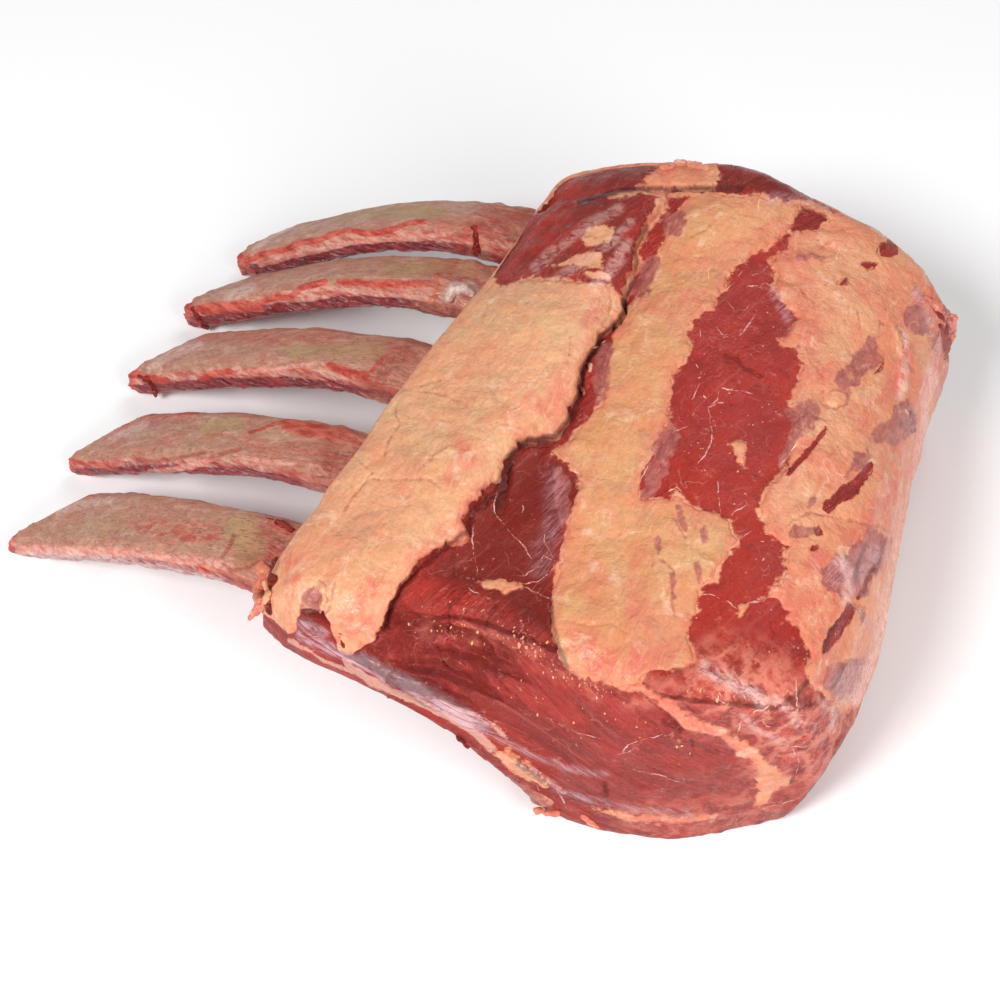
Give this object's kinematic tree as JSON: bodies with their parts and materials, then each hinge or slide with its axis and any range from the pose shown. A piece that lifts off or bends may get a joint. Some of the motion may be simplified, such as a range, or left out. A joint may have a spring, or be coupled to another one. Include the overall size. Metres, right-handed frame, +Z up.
{
  "type": "tomahawk rib roast",
  "caption": "Raw bone-in beef rib roast with long frenched ribs, a raised fat-covered cap flap and bands of fat over red lean; food prop that lies flat.",
  "frame": {"origin": "middle of the bounding box at its base, on the surface that the roast lies on", "axes": "+X along the ribs from their sawn tips to the back, +Y from the near cut to the far cut, +Z up"},
  "size_m": [0.409, 0.3201, 0.1277],
  "materials": {
    "lean_meat": "moist raw lean meat, satin with wet highlights",
    "cap_fat": "cream fat under a thin skin, satin",
    "soft_fat": "soft pinkish cream fat, satin",
    "bone": "scraped rib bone with a dry membrane, matt"
  },
  "bodies": {
    "root": {"meat": "lean_meat", "cap_flap": "cap_fat", "fat_band": "cap_fat", "back_fat": "soft_fat", "seam_fat": "soft_fat", "rib_1": "bone", "rib_2": "bone", "rib_3": "bone", "rib_4": "bone", "rib_5": "bone"}
  },
  "joints": []
}
